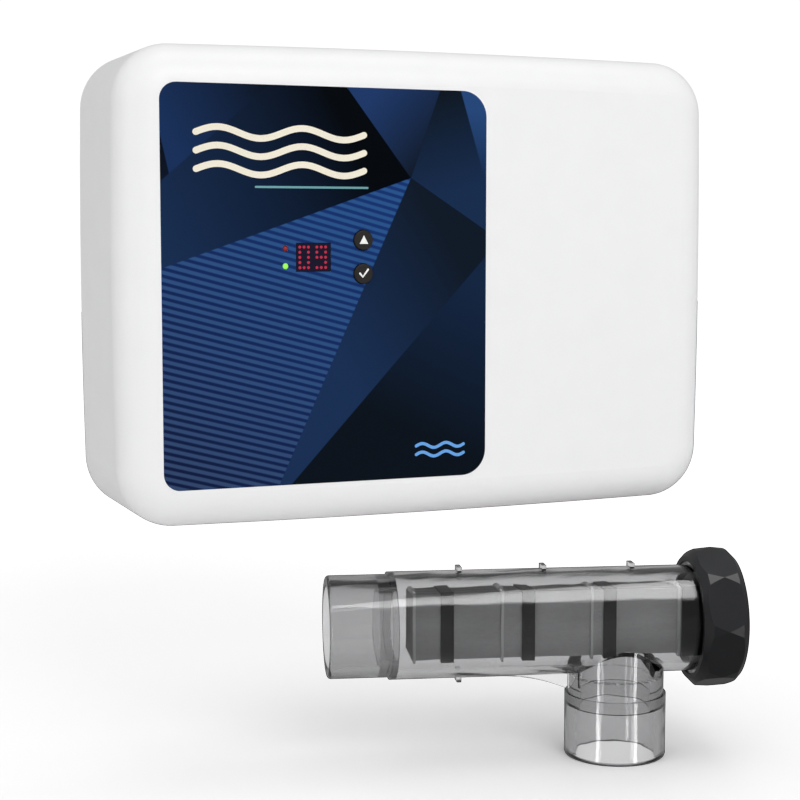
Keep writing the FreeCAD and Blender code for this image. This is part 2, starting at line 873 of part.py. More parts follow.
def build_buttons():
    """Two round push buttons and the switches that they press."""
    cap_depth = "box_depth + button_proud - front_inside"
    flange_front = "front_inside - 1 / 10"
    front = -sheet.get("box_depth") - sheet.get("button_proud")
    for label, z in BUTTONS.items():
        cap_front = ("button_x", "-(box_depth + button_proud)", z)
        cap = rod("button_radius", cap_front, f"{cap_depth} + 1 / 2", "+y")
        soft_cap = rounded(cap, "button_edge", lambda edge: edge.BoundBox.YMax < front + 0.01)
        flange = rod("button_flange", ("button_x", f"-({flange_front})", z), "button_flange_depth", "+y")
        stem = rod("button_stem", ("button_x", f"-({flange_front} - button_flange_depth)", z),
                   "button_stem_length", "+y")
        node(label, fuse(soft_cap, flange, stem))
    switches = []
    for z in BUTTONS.values():
        base = block(
            ("button_x - switch_size / 2", "-(panel_face + switch_height)", f"{z} - switch_size / 2"),
            ("button_x + switch_size / 2", "-panel_face", f"{z} + switch_size / 2"),
        )
        plunger_tip = ("button_x", "-(panel_face + switch_height + switch_plunger_rise)", z)
        plunger = rod("switch_plunger", plunger_tip, "switch_plunger_rise + 1", "+y")
        switches.append(fuse(base, plunger))
    node("tact_switches", group(*switches))


def board(label, edges, front, holes):
    """A circuit board with four screw holes, whose front is a given depth before the wall."""
    left, right, low, high = (f"{edges}_{side}" for side in ("left", "right", "low", "high"))
    laminate = block((left, f"-{front}", low), (right, f"board_thickness - {front}", high))
    drills = [rod("small_screw_radius", (x, f"-{front}", z), "board_thickness", "+y") for x, z in holes]
    node(label, cut(laminate, *drills))


def build_boards():
    """The display board behind the front wall and the main board on its standoffs."""
    board("display_board", "panel", "panel_face", PANEL_HOLES)
    board("main_board", "main", "main_face", MAIN_HOLES)
    shank_length = "small_screw_length + board_thickness"
    panel_screws = [
        fuse(
            rod("small_screw_radius", (x, "-(panel_face + small_screw_length)", z), shank_length, "+y"),
            rod("small_screw_head", (x, "board_thickness - panel_face", z), "small_screw_head_depth", "+y"),
        )
        for x, z in PANEL_HOLES
    ]
    node("display_board_screws", group(*panel_screws))
    head_front = "-(main_face + small_screw_head_depth)"
    main_screws = [
        fuse(
            rod("small_screw_radius", (x, "-main_face", z), shank_length, "+y"),
            rod("small_screw_head", (x, head_front, z), "small_screw_head_depth", "+y"),
        )
        for x, z in MAIN_HOLES
    ]
    node("main_board_screws", group(*main_screws))


# ---------------------------------------------------------------- electronics

FIN_COUNT = 5
CAPACITOR_COUNT = 2
RELAY_COUNT = 3
POLE_COUNT = 8


def standing(x, z, width, height, depth):
    """A block that stands on the front of the main board, centred at a point."""
    return block(
        (f"{x} - ({width}) / 2", f"-(main_face + {depth})", f"{z} - ({height}) / 2"),
        (f"{x} + ({width}) / 2", "-main_face", f"{z} + ({height}) / 2"),
    )


def build_transformer():
    """A toroidal transformer clamped to the rear cover by a plate and one bolt."""
    foot = "(rear_wall + toroid_seat)"
    face = f"({foot} + toroid_height)"
    top = ("toroid_x", f"-{face}", "toroid_z")
    core = rod("toroid_radius", top, "toroid_height", "+y")
    bore = rod("toroid_bore", top, "toroid_height", "+y")
    outer_edge = sheet.get("toroid_radius") * 2 - 1
    winding = rounded(cut(core, bore), "toroid_rounding", lambda edge: edge.BoundBox.XLength > outer_edge)
    node("transformer", winding)

    clamp_front = f"({face} + clamp_thickness)"
    clamp_top = ("toroid_x", f"-{clamp_front}", "toroid_z")
    plate = rod("clamp_radius", clamp_top, "clamp_thickness", "+y")
    hole = rod("clamp_bolt_radius", clamp_top, "clamp_thickness", "+y")
    node("transformer_clamp", cut(plate, hole))
    bolt_top = ("toroid_x", f"-({clamp_front} + clamp_bolt_head_depth)", "toroid_z")
    node("transformer_bolt", fuse(
        rod("clamp_bolt_radius", clamp_top, f"{clamp_front} - rear_wall / 2", "+y"),
        prism(6, "2 * clamp_bolt_head", bolt_top, "clamp_bolt_head_depth", "+y"),
    ))


def build_power_parts():
    """The rectifier on its heatsink, the capacitors, the relays and the fuse."""
    low, high = "sink_z - sink_height / 2", "sink_z + sink_height / 2"
    back = block(
        ("sink_x", "-(main_face + sink_depth)", low),
        ("sink_x + sink_back", "-main_face", high),
    )
    fins = [
        block(
            ("sink_x - sink_reach", f"-(main_face + sink_depth - {i} * sink_pitch)", low),
            ("sink_x", f"-(main_face + sink_depth - {i} * sink_pitch - sink_fin)", high),
        )
        for i in range(FIN_COUNT)
    ]
    node("heatsink", fuse(back, *fins))
    node("bridge_rectifier", block(
        ("sink_x + sink_back", "-(main_face + rectifier_high)", "sink_z - rectifier_half_height"),
        ("sink_x + sink_back + rectifier_thickness", "-(main_face + rectifier_low)",
         "sink_z + rectifier_half_height"),
    ))
    capacitor_front = "-(main_face + capacitor_height)"
    node("capacitors", group(*[
        rod("capacitor_radius", ("capacitor_x", capacitor_front, f"capacitor_z + {i} * capacitor_pitch"),
            "capacitor_height", "+y")
        for i in range(CAPACITOR_COUNT)
    ]))
    node("relays", group(*[
        standing("relay_x", f"relay_z + {i} * relay_pitch", "relay_width", "relay_height", "relay_tall")
        for i in range(RELAY_COUNT)
    ]))
    base = standing("fuse_x", "fuse_z", "fuse_base_width", "fuse_base_height", "fuse_base_tall")
    posts = [
        standing(f"fuse_x {side} fuse_post_offset", "fuse_z", "fuse_post_width", "fuse_post_height",
                 "fuse_post_tall")
        for side in "+-"
    ]
    fuse_end = ("fuse_x - fuse_length / 2", "-(main_face + fuse_rise)", "fuse_z")
    node("fuse_holder", cut(fuse(base, *posts), rod("fuse_radius", fuse_end, "fuse_length", "+x")))
    node("fuse", rod("fuse_radius", fuse_end, "fuse_length", "+x"))


def ribbon_cable():
    """A flat cable that leaves one header, rises in two tangent bends and enters the other."""
    front = -(sheet.get("panel_face") - sheet.get("board_thickness") - sheet.get("header_tall"))
    back = -(sheet.get("main_face") + sheet.get("header_tall"))
    low, high = sheet.get("ribbon_low"), sheet.get("ribbon_high")
    bend = sheet.get("ribbon_bend")
    width, thickness = sheet.get("ribbon_width"), sheet.get("ribbon_thickness")
    middle = (front + back) / 2
    diagonal = bend * math.sqrt(0.5)
    lower_centre = (middle - bend, low + bend)
    upper_centre = (middle + bend, high - bend)

    def point(y, z):
        return Vector(0, y, z)

    lower_mid = point(lower_centre[0] + diagonal, lower_centre[1] - diagonal)
    upper_mid = point(upper_centre[0] - diagonal, upper_centre[1] + diagonal)
    path = Part.Wire([
        Part.LineSegment(point(front, low), point(middle - bend, low)).toShape(),
        Part.Arc(point(middle - bend, low), lower_mid, point(middle, low + bend)).toShape(),
        Part.LineSegment(point(middle, low + bend), point(middle, high - bend)).toShape(),
        Part.Arc(point(middle, high - bend), upper_mid, point(middle + bend, high)).toShape(),
        Part.LineSegment(point(middle + bend, high), point(back, high)).toShape(),
    ])
    corners = [
        Vector(across * width / 2, front, low + rise * thickness / 2)
        for across, rise in ((-1, -1), (1, -1), (1, 1), (-1, 1), (-1, -1))
    ]
    section = Part.Face(Part.makePolygon(corners))
    cable = doc.addObject("Part::Feature", "ribbon")
    cable.Shape = path.makePipe(section)
    return place(cable, "ribbon_x", "0", "0")


def build_signal_parts():
    """The controller chip, the terminal block, the pin headers and the ribbon cable."""
    node("controller_chip", standing("chip_x", "chip_z", "chip_size", "chip_size", "chip_tall"))
    strip = standing(
        "terminal_x", "terminal_z", f"{POLE_COUNT} * terminal_pitch", "terminal_deep", "terminal_tall"
    )
    entries, drivers = [], []
    for i in range(POLE_COUNT):
        x = f"terminal_x + ({i} - {(POLE_COUNT - 1) / 2}) * terminal_pitch"
        entry = (x, "-(main_face + terminal_entry_rise)", "terminal_z - terminal_deep / 2")
        entries.append(rod("terminal_entry", entry, "terminal_entry_depth", "+z"))
        driver = (x, "-(main_face + terminal_tall)", "terminal_z")
        drivers.append(rod("terminal_entry", driver, "terminal_driver_depth", "+y"))
    node("terminal_block", cut(strip, *entries, *drivers))
    node("main_header", standing("ribbon_x", "ribbon_high", "header_width", "header_deep", "header_tall"))
    panel_back = "(panel_face - board_thickness)"
    node("display_header", block(
        ("ribbon_x - header_width / 2", f"-{panel_back}", "ribbon_low - header_deep / 2"),
        ("ribbon_x + header_width / 2", f"-({panel_back} - header_tall)", "ribbon_low + header_deep / 2"),
    ))
    node("ribbon_cable", ribbon_cable())


# ---------------------------------------------------------------- electrolysis cell

THREAD_TURNS = 5
PLATES = range(-3, 4)
ANODES = [i for i in PLATES if i % 2]
CLIPS = ("clip_x_1", "clip_x_2", "clip_x_3")
SPACERS = ("spacer_x_1", "spacer_x_2", "spacer_x_3", "spacer_x_4")
STUD_ANGLES = (90, 210, 330)
NUT_SIDES = 8


def cell_node(label, thing):
    """A sub-part of the cell, turned and put in its place."""
    node(label, thing)
    thing.Placement = Placement(Vector(), Rotation(Vector(0, 0, -1), CELLS["cell_turn"]))
    thing.setExpression("Placement.Rotation.Angle", bound("cell_turn"))
    place(thing, "cell_x", "cell_y", "cell_z")


def cell_rod(radius, start, end):
    """A cylinder on the cell's axis, between two lengths from its left mouth."""
    return rod(radius, (start, "0", "0"), f"({end}) - ({start})", "+x")


def branch_rod(radius, start, end):
    """A cylinder on the branch's axis, between two depths below the cell's axis."""
    return rod(radius, ("branch_x", "0", f"-({start})"), f"({end}) - ({start})", "-z")


def clear_lugs():
    """Small lugs on the tube: three along the top and one below."""
    over = ("tube_bore + 1", "tube_radius + lug_height")
    under = ("-tube_radius - lug_height", "-tube_bore - 1")
    lugs = (("lug_x_1", over), ("lug_x_2", over), ("lug_x_3", over), ("lug_x_1", under))
    return [
        block(
            (f"{x} - lug_width / 2", "-lug_span / 2", z_low),
            (f"{x} + lug_width / 2", "lug_span / 2", z_high),
        )
        for x, (z_low, z_high) in lugs
    ]


def thread_ridges(radius):
    """The ridges that stand for the thread, at the pitch the housing and the nut share."""
    starts = [f"thread_start + {i} * thread_pitch" for i in range(THREAD_TURNS)]
    return [cell_rod(radius, start, f"{start} + thread_ridge") for start in starts]


def build_cell_housing():
    """The clear moulding: a stub, a wider tube with a thread on its end, and a saddle below."""
    outside = fuse(
        cell_rod("stub_radius", "0", "stub_length + 1"),
        cell_rod("tube_radius", "stub_length", "tube_end"),
        branch_rod("neck_radius", "0", "saddle_depth"),
        *clear_lugs(),
        *thread_ridges("thread_radius"),
    )
    inside = [
        cell_rod("socket_radius", "-1", "socket_depth"),
        cell_rod("throat_radius", "socket_depth - 1", "chamber_start + 1"),
        cell_rod("tube_bore", "chamber_start", "tube_end + 1"),
        branch_rod("throat_radius", "0", "saddle_depth + 1"),
    ]
    cell_node("cell_housing", rounded(
        cut(outside, *inside), "rim_rounding", lambda edge: edge.BoundBox.XMax < 0.01
    ))


def build_cell_branch():
    """The branch bonded under the saddle, and the gusset that stiffens it."""
    outside = fuse(
        branch_rod("neck_radius", "saddle_depth", "neck_end"),
        branch_rod("stub_radius", "neck_end", "branch_end"),
    )
    inside = [
        branch_rod("throat_radius", "saddle_depth - 1", "branch_end - socket_depth + 1"),
        branch_rod("socket_radius", "branch_end - socket_depth", "branch_end + 1"),
    ]
    foot = -sheet.get("branch_end")
    cell_node("cell_branch", rounded(
        cut(outside, *inside), "rim_rounding", lambda edge: edge.BoundBox.ZMax < foot + 0.01
    ))
    web = block(
        ("web_start", "-web_thickness / 2", "-neck_end"),
        ("branch_x", "web_thickness / 2", "-tube_bore"),
    )
    arc_centre = ("web_start", "-web_thickness", "-tube_radius - web_tip - web_arc")
    scoop = rod("web_arc", arc_centre, "2 * web_thickness", "+y")
    tube = cell_rod("tube_radius", "0", "tube_end")
    neck = branch_rod("neck_radius", "0", "branch_end")
    cell_node("cell_gusset", cut(web, scoop, tube, neck))


def plate_blank(i):
    """One flat plate of the stack."""
    y = f"{i} * plate_pitch"
    return block(
        ("plate_start", f"{y} - plate_thickness / 2", "plate_low"),
        ("plate_end", f"{y} + plate_thickness / 2", "plate_high"),
    )


def plate_tab(i):
    """The tab that carries a plate into the head: high on an anode, low on a cathode."""
    y = f"{i} * plate_pitch"
    kind = "anode" if i in ANODES else "cathode"
    return block(
        ("plate_end", f"{y} - plate_thickness / 2", f"{kind}_tab_low"),
        ("plate_end + tab_length", f"{y} + plate_thickness / 2", f"{kind}_tab_high"),
    )


def build_plates():
    """Seven titanium plates, anodes and cathodes by turns."""
    counts = {"anode_plate": 0, "cathode_plate": 0}
    for i in PLATES:
        kind = "anode_plate" if i in ANODES else "cathode_plate"
        counts[kind] += 1
        cell_node(f"{kind}_{counts[kind]}", fuse(plate_blank(i), plate_tab(i)))


def comb(x, width, knob):
    """A frame round the stack with short teeth between the plates."""
    start, end = f"{x} - {width} / 2", f"{x} + {width} / 2"
    frame = block((start, "-clip_half_span", "clip_low"), (end, "clip_half_span", "clip_high"))
    stack_side = f"({PLATES[-1]} * plate_pitch + plate_thickness / 2)"
    window = block(
        (start, f"-{stack_side}", "plate_low + clip_hook"),
        (end, stack_side, "plate_high - clip_hook"),
    )
    return cut(fuse(frame, knob), window, *[plate_blank(i) for i in PLATES])


def build_combs():
    """Three black clips and four thin spacers that hold the plates apart."""
    for count, x in enumerate(CLIPS, start=1):
        bump = block(
            (f"{x} - clip_bump_width / 2", "-clip_bump_span / 2", "clip_low - clip_bump"),
            (f"{x} + clip_bump_width / 2", "clip_bump_span / 2", "clip_low"),
        )
        cell_node(f"plate_clip_{count}", comb(x, "clip_width", bump))
    for count, x in enumerate(SPACERS, start=1):
        knob = rod("spacer_knob", (x, "-clip_half_span / 2", "clip_high"), "clip_half_span", "+y")
        cell_node(f"plate_spacer_{count}", comb(x, "spacer_width", knob))


def stud_points():
    """The three terminal studs, one high and two low, as formulas from the cell's axis."""
    turns = [math.radians(angle) for angle in STUD_ANGLES]
    return [
        (f"stud_circle * {math.cos(turn):.4f}", f"stud_circle * {math.sin(turn):.4f}")
        for turn in turns
    ]


def build_electrode_head():
    """The plug that holds the plates and closes the housing, with its O-ring, bars and terminals."""
    flange_start = "tube_end + head_flange_gap"
    root = block(
        ("root_start", "-clip_half_span", "clip_low"),
        ("head_start + 1", "clip_half_span", "clip_high"),
    )
    outside = fuse(
        root,
        cell_rod("head_radius", "head_start", flange_start),
        cell_rod("head_flange", flange_start, f"{flange_start} + head_flange_depth"),
        cell_rod("collar_radius", "tube_end", "head_end"),
    )
    cup = cell_rod("cup_radius", "cup_floor", "head_end + 1")
    land = "ring_centre - ring_section"
    groove = cut(
        cell_rod("head_radius + 1", "ring_groove - ring_land", "ring_groove + ring_land"),
        cell_rod(land, "ring_groove - ring_land", "ring_groove + ring_land"),
    )
    bar_start = "plate_end + tab_length"
    stud_start = f"{bar_start} + bar_thickness"
    bars = [
        block(
            (bar_start, "-bar_half_span", f"{kind}_bar_low"),
            (stud_start, "bar_half_span", f"{kind}_bar_high"),
        )
        for kind in ("anode", "cathode")
    ]
    stems, nuts = [], []
    for y, z in stud_points():
        stems.append(rod("stud_radius", (stud_start, y, z), f"stud_end - ({stud_start})", "+x"))
        nuts.append(cut(
            prism(6, "stud_nut_flats", ("cup_floor", y, z), "stud_nut_depth", "+x"),
            rod("stud_radius", ("cup_floor", y, z), "stud_nut_depth", "+x"),
        ))
    plates = [plate_blank(i) for i in PLATES] + [plate_tab(i) for i in PLATES]
    cell_node("electrode_head", cut(outside, cup, groove, *plates, *bars, *stems))
    cell_node("bus_bars", group(*bars))
    cell_node("terminal_studs", group(*stems))
    cell_node("terminal_nuts", group(*nuts))
    cell_node("head_o_ring", group(ring("ring_centre", "ring_section", ("ring_groove", "0", "0"))))


def build_union_nut():
    """The eight-sided nut, bevelled at both ends, and the slip ring inside it."""
    slip_start = "tube_end + head_flange_gap + head_flange_depth + slip_gap"
    slip_end = f"{slip_start} + slip_thickness"
    cell_node("slip_ring", cut(
        cell_rod("head_flange", slip_start, slip_end), cell_rod("slip_bore", slip_start, slip_end)
    ))
    nut_length = "nut_end - nut_start"
    blank = prism(NUT_SIDES, "nut_flats", ("nut_start", "0", "0"), nut_length)
    corner = f"nut_flats / {2 * math.cos(math.pi / NUT_SIDES):.5f}"
    shoulder = f"{corner} - nut_crown"
    face = f"{shoulder} - nut_chamfer"
    half_crown = f"({nut_length}) / 2 - nut_chamfer"
    envelope = fuse(
        cone(face, shoulder, ("nut_start", "0", "0"), "nut_chamfer"),
        cone(shoulder, corner, ("nut_start + nut_chamfer", "0", "0"), half_crown),
        cone(corner, shoulder, ("(nut_start + nut_end) / 2", "0", "0"), half_crown),
        cone(shoulder, face, ("nut_end - nut_chamfer", "0", "0"), "nut_chamfer"),
    )
    web_start = f"{slip_end} + slip_gap"
    cell_node("union_nut", cut(
        common(blank, envelope),
        cell_rod("nut_bore", "nut_start - 1", web_start),
        cell_rod("nut_web_bore", web_start, "nut_end + 1"),
        *thread_ridges("nut_thread"),
    ))


# ---------------------------------------------------------------- build, check and write


def check_and_write():
    """Stop on any failed object, then write each sub-part to its own STEP file."""
    doc.recompute()
    failed = [thing.Name for thing in doc.Objects if {"Invalid", "Error"} & set(thing.State)]
    if failed:
        raise RuntimeError(f"failed objects: {failed}")
    for part in nodes:
        if part.Shape.isNull() or not part.Shape.isValid():
            raise RuntimeError(f"{part.Label} has no valid shape")
    os.makedirs(OUTPUT_FOLDER, exist_ok=True)
    for part in nodes:
        part.Shape.exportStep(os.path.join(OUTPUT_FOLDER, f"{part.Label}.step"))
        box = part.Shape.BoundBox
        print(f"{part.Label:24s} {len(part.Shape.Solids)} solids {part.Shape.Volume:12.1f} mm3"
              f"  x {box.XMin:7.1f} {box.XMax:7.1f}  y {box.YMin:7.1f} {box.YMax:7.1f}"
              f"  z {box.ZMin:7.1f} {box.ZMax:7.1f}")
    print(f"{len(nodes)} nodes")


build_front_cover()
build_rear_cover()
build_case_small_parts()
build_glands()
build_label()
build_display()
build_lamps()
build_buttons()
build_boards()
build_transformer()
build_power_parts()
build_signal_parts()
build_cell_housing()
build_cell_branch()
build_plates()
build_combs()
build_electrode_head()
build_union_nut()
check_and_write()
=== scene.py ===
"""Looks for a salt chlorine generator: a white wall controller and its clear electrolysis cell.

Lengths are in metres, in the frame of the CAD model: X to the right, Y into the wall, Z up.
"""

import math

import bmesh
import bpy
from mathutils import Euler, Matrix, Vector


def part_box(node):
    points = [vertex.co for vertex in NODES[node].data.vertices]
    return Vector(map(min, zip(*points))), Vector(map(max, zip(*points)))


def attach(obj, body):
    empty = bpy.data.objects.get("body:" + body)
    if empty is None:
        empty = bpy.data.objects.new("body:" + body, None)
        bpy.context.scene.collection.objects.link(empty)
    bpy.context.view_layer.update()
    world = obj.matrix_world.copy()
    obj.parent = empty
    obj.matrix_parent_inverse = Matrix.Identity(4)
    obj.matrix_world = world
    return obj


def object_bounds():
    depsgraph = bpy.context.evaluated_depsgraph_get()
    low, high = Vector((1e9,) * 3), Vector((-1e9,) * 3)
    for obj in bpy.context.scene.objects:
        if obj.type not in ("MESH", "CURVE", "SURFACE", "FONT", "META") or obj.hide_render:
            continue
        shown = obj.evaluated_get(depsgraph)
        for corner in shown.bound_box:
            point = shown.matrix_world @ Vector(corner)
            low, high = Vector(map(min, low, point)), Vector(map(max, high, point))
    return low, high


MM = 0.001

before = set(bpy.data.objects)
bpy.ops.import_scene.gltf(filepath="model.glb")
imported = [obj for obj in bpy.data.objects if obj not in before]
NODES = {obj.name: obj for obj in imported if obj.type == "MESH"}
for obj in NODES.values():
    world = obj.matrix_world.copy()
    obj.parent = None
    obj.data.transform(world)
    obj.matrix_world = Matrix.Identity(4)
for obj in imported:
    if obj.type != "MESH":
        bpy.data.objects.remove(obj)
cad_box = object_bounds()

CELL_TURN = math.radians(15)    # how far the cell's axis is turned from the wall


# ---------------------------------------------------------------- node fields

class Field:
    """A number that varies over a surface, made of math nodes."""

    def __init__(self, tree, source):
        self.tree = tree
        self.source = source

    def math(self, operation, *others):
        """The outcome of a math node, with this number as its first value."""
        node = self.tree.nodes.new("ShaderNodeMath")
        node.operation = operation
        self.tree.links.new(self.source, node.inputs[0])
        for socket, other in zip(list(node.inputs)[1:], others):
            plug(self.tree, other.source if isinstance(other, Field) else other, socket)
        return Field(self.tree, node.outputs[0])

    def __add__(self, other):
        return self.math("ADD", other)

    def __sub__(self, other):
        return self.math("SUBTRACT", other)

    def __mul__(self, other):
        return self.math("MULTIPLY", other)

    def unit(self, low, high):
        """0 at low, 1 at high, held between them."""
        node = self.tree.nodes.new("ShaderNodeMapRange")
        self.tree.links.new(self.source, node.inputs["Value"])
        node.inputs["From Min"].default_value = low
        node.inputs["From Max"].default_value = high
        return Field(self.tree, node.outputs["Result"])


def plug(tree, value, socket):
    """Links a socket, or sets a constant."""
    if isinstance(value, bpy.types.NodeSocket):
        tree.links.new(value, socket)
    elif isinstance(value, tuple):
        socket.default_value = (*value, 1.0)
    else:
        socket.default_value = value


# Sockets of a mix node that mixes colours. The ones between are for numbers and vectors.
MIX_SHARE, MIX_FIRST, MIX_SECOND, MIX_RESULT = 0, 6, 7, 2


def mix(tree, share, first, second):
    """A colour between two, by a Field from 0 to 1."""
    node = tree.nodes.new("ShaderNodeMix")
    node.data_type = "RGBA"
    tree.links.new(share.source, node.inputs[MIX_SHARE])
    plug(tree, first, node.inputs[MIX_FIRST])
    plug(tree, second, node.inputs[MIX_SECOND])
    return node.outputs[MIX_RESULT]


def linear(code):
    """A screen colour such as "1d3766" as linear light."""
    values = [int(code[i:i + 2], 16) / 255 for i in (0, 2, 4)]
    return tuple(v / 12.92 if v < 0.04045 else ((v + 0.055) / 1.055) ** 2.4 for v in values)


def scaled(colour, factor):
    """A colour made lighter or darker."""
    return tuple(min(1.0, c * factor) for c in colour)


def new_material(name):
    """A material, its node tree and its shader."""
    material = bpy.data.materials.new(name)
    material.use_nodes = True
    tree = material.node_tree
    return material, tree, tree.nodes["Principled BSDF"]


def object_point(tree, stretch=(1, 1, 1), turn=0.0):
    """The place on the object, in metres, scaled and turned about Z."""
    coordinates = tree.nodes.new("ShaderNodeTexCoord")
    mapping = tree.nodes.new("ShaderNodeMapping")
    mapping.inputs["Scale"].default_value = stretch
    mapping.inputs["Rotation"].default_value[2] = turn
    tree.links.new(coordinates.outputs["Object"], mapping.inputs["Vector"])
    return mapping.outputs["Vector"]


def axes(tree, point):
    """X, Y and Z of a point as Fields."""
    split = tree.nodes.new("ShaderNodeSeparateXYZ")
    tree.links.new(point, split.inputs["Vector"])
    return [Field(tree, output) for output in split.outputs]


def noise(tree, point, scale, detail=3.0):
    """Soft random blotches, scale of them to a unit of length."""
    node = tree.nodes.new("ShaderNodeTexNoise")
    node.inputs["Scale"].default_value = scale
    node.inputs["Detail"].default_value = detail
    tree.links.new(point, node.inputs["Vector"])
    return Field(tree, node.outputs["Fac"])


def bump(tree, shader, height, strength, depth):
    """Turns a Field into relief. depth is in metres."""
    node = tree.nodes.new("ShaderNodeBump")
    node.inputs["Strength"].default_value = strength
    node.inputs["Distance"].default_value = depth
    tree.links.new(height.source, node.inputs["Height"])
    tree.links.new(node.outputs["Normal"], shader.inputs["Normal"])


NOISE_LOW, NOISE_HIGH = 0.35, 0.65    # the range that most of a noise lies in
BROAD_RATIO = 30                      # how much coarser the broad grain is than the fine
GRAIN_DEPTH = 0.1 * MM
ROUGH_SPREAD = 0.06


def finish(name, colour, rough, grain=900, relief=0.05, tint=0.04, metal=0.0,
           stretch=(1, 1, 1), turn=0.0, specular=0.5):
    """A moulded, cast, rolled or painted surface with fine grain in colour, gloss and relief."""
    material, tree, shader = new_material(name)
    point = object_point(tree, stretch, turn)
    fine = noise(tree, point, grain)
    broad = noise(tree, point, grain / BROAD_RATIO)
    share = (fine * 0.5 + broad * 0.5).unit(NOISE_LOW, NOISE_HIGH)
    plug(tree, mix(tree, share, scaled(colour, 1 - tint), scaled(colour, 1 + tint)),
         shader.inputs["Base Color"])
    plug(tree, (broad * ROUGH_SPREAD + (rough - ROUGH_SPREAD / 2)).source, shader.inputs["Roughness"])
    shader.inputs["Metallic"].default_value = metal
    shader.inputs["Specular IOR Level"].default_value = specular
    bump(tree, shader, fine, relief, GRAIN_DEPTH)
    return material


def glow(material, colour, strength):
    """Makes a material give off light of its own."""
    shader = material.node_tree.nodes["Principled BSDF"]
    shader.inputs["Emission Color"].default_value = (*colour, 1.0)
    shader.inputs["Emission Strength"].default_value = strength
    return material


def dress(material, *names):
    """Gives CAD nodes a material."""
    for name in names:
        for slot in NODES[name].material_slots:
            slot.material = material


# ---------------------------------------------------------------- label print

# Ends of the fold lines on the label, in mm on the front of the case: X, Z.
LEFT, RIGHT, TOP, BOTTOM = -162, 32, 111.5, -111.5
APEX = (-15.4, 61.3)
TOP_1, TOP_2, TOP_3 = (-54.2, TOP), (2.9, TOP), (15.7, TOP)
RIGHT_1, RIGHT_2, RIGHT_3 = (RIGHT, 58.4), (RIGHT, 31.3), (RIGHT, 16.6)
FOOT_1, FOOT_2 = (-95.5, BOTTOM), (-88.4, BOTTOM)
LEFT_1 = (LEFT, 10.9)
RIDGE_1, RIDGE_2 = (-157, 62.3), (-100, TOP)
NOTCH_1, NOTCH_2 = (LEFT, 84), (LEFT, 58)

STRIPE_TILT = math.radians(15)
STRIPE_PITCH = 3.9
STRIPE_EDGE = (0.16 * STRIPE_PITCH, 0.32 * STRIPE_PITCH)    # from the middle of the dark line
FOLD_SOFTNESS = 0.25    # half the width of the blur along a fold line
INK = 0.74              # how much darker the print is than its colours on a screen

SPECK_SCALE = 0.8
SPECK_STRENGTH, SPECK_DEPTH = 0.04, 0.1
LABEL_ROUGH, LABEL_ROUGH_SPREAD = 0.28, 0.1
LABEL_SPECULAR = 0.03


def label_material():
    """Dark blue facets round an apex, with fine stripes at the lower left."""
    material, tree, shader = new_material("label_print")
    point = object_point(tree, (1 / MM, 1 / MM, 1 / MM))
    x, _, z = axes(tree, point)

    def left_of(start, end):
        """1 to the left of the line from start to end."""
        dx, dz = end[0] - start[0], end[1] - start[1]
        length = math.hypot(dx, dz)
        along_x, along_z = -dz / length, dx / length
        offset = start[0] * along_x + start[1] * along_z
        return (x * along_x + z * along_z).unit(offset - FOLD_SOFTNESS, offset + FOLD_SOFTNESS)

    def fade(start, end, first, second):
        """A colour that runs from one point to another."""
        dx, dz = end[0] - start[0], end[1] - start[1]
        span = dx * dx + dz * dz
        offset = (start[0] * dx + start[1] * dz) / span
        share = (x * (dx / span) + z * (dz / span)).unit(offset, offset + 1)
        return mix(tree, share, scaled(linear(first), INK), scaled(linear(second), INK))

    across = x * math.sin(STRIPE_TILT) + z * math.cos(STRIPE_TILT)
    stripe = across.math("PINGPONG", STRIPE_PITCH / 2).unit(*STRIPE_EDGE)
    stripes = mix(tree, stripe,
                  fade((-150, -100), (-40, 40), "14224a", "1a3a7c"),
                  fade((-150, -100), (-60, 40), "39507a", "2f5e9c"))

    # Where each facet lies, and its colours. A later facet lies over the earlier ones.
    colour = fade((-165, 20), (-50, 80), "1c355c", "04090f")
    facets = (
        (left_of(RIDGE_1, RIDGE_2), fade((-150, 70), (-95, 100), "1c3765", "0b1624")),
        (left_of(NOTCH_2, RIDGE_1) * left_of(RIDGE_1, NOTCH_1),
         fade(NOTCH_1, NOTCH_2, "080e1a", "0e1a2e")),
        (left_of(TOP_1, APEX) * left_of(APEX, TOP_2), fade((-40, 105), (-5, 75), "234074", "131f30")),
        (left_of(TOP_2, APEX) * left_of(APEX, RIGHT_2), fade((5, 112), (20, 55), "0f1a24", "1b3358")),
        (left_of(TOP_3, RIGHT_1), fade((24, 60), (28, 100), "182e50", "2b5088")),
        (left_of(RIGHT_2, APEX) * left_of(APEX, FOOT_1), fade((-60, -45), (20, 5), "1d3760", "121e2e")),
        (left_of(RIGHT_2, APEX) * left_of(RIGHT_3, FOOT_2),
         fade((30, 0), (-10, -85), "172c4c", "0d1722")),
        (left_of(APEX, LEFT_1) * left_of(FOOT_1, APEX), stripes),
    )
    for mask, paint in facets:
        colour = mix(tree, mask, colour, paint)

    plug(tree, colour, shader.inputs["Base Color"])
    speck = noise(tree, point, SPECK_SCALE)
    plug(tree, (speck * LABEL_ROUGH_SPREAD + LABEL_ROUGH).source, shader.inputs["Roughness"])
    bump(tree, shader, speck, SPECK_STRENGTH, SPECK_DEPTH)
    shader.inputs["Specular IOR Level"].default_value = LABEL_SPECULAR
    return material


dress(label_material(), "label_overlay")


# ---------------------------------------------------------------- plain finishes

